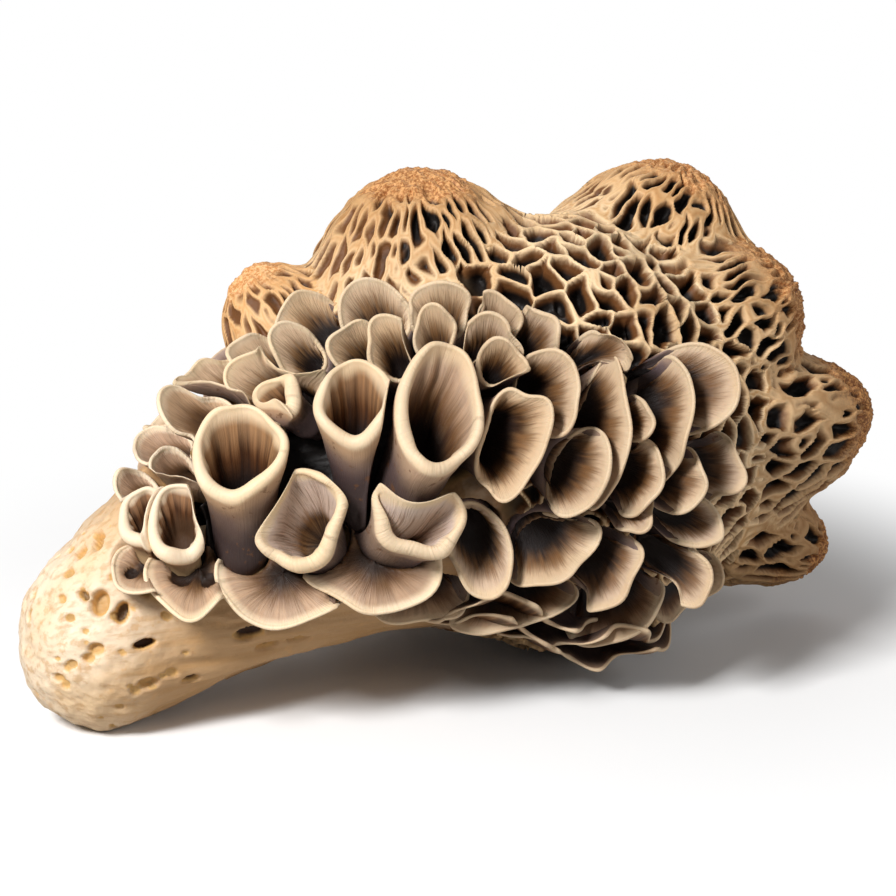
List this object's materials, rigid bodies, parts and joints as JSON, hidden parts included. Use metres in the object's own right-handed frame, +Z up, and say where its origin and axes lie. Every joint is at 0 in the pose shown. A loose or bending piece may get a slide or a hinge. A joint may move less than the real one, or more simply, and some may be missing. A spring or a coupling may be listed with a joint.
{
  "type": "compound morel mushroom",
  "caption": "Whole compound morel lying on its side: pitted pale stem end, clustered cup folds on one side, small ridged honeycomb caps round the far top.",
  "frame": {"origin": "centre of the footprint's box, on the surface that the mushroom lies on", "axes": "+X along the length from the blunt stem end to the crown, +Z up as it lies, -Y the side that carries the open cups"},
  "size_m": [0.165, 0.1002, 0.088],
  "materials": {
    "morel": "matt to satin skin: ivory stem, cream lips, tan to dark brown hollows, orange-brown cap tips"
  },
  "bodies": {
    "root": {"morel": "morel"}
  },
  "joints": []
}
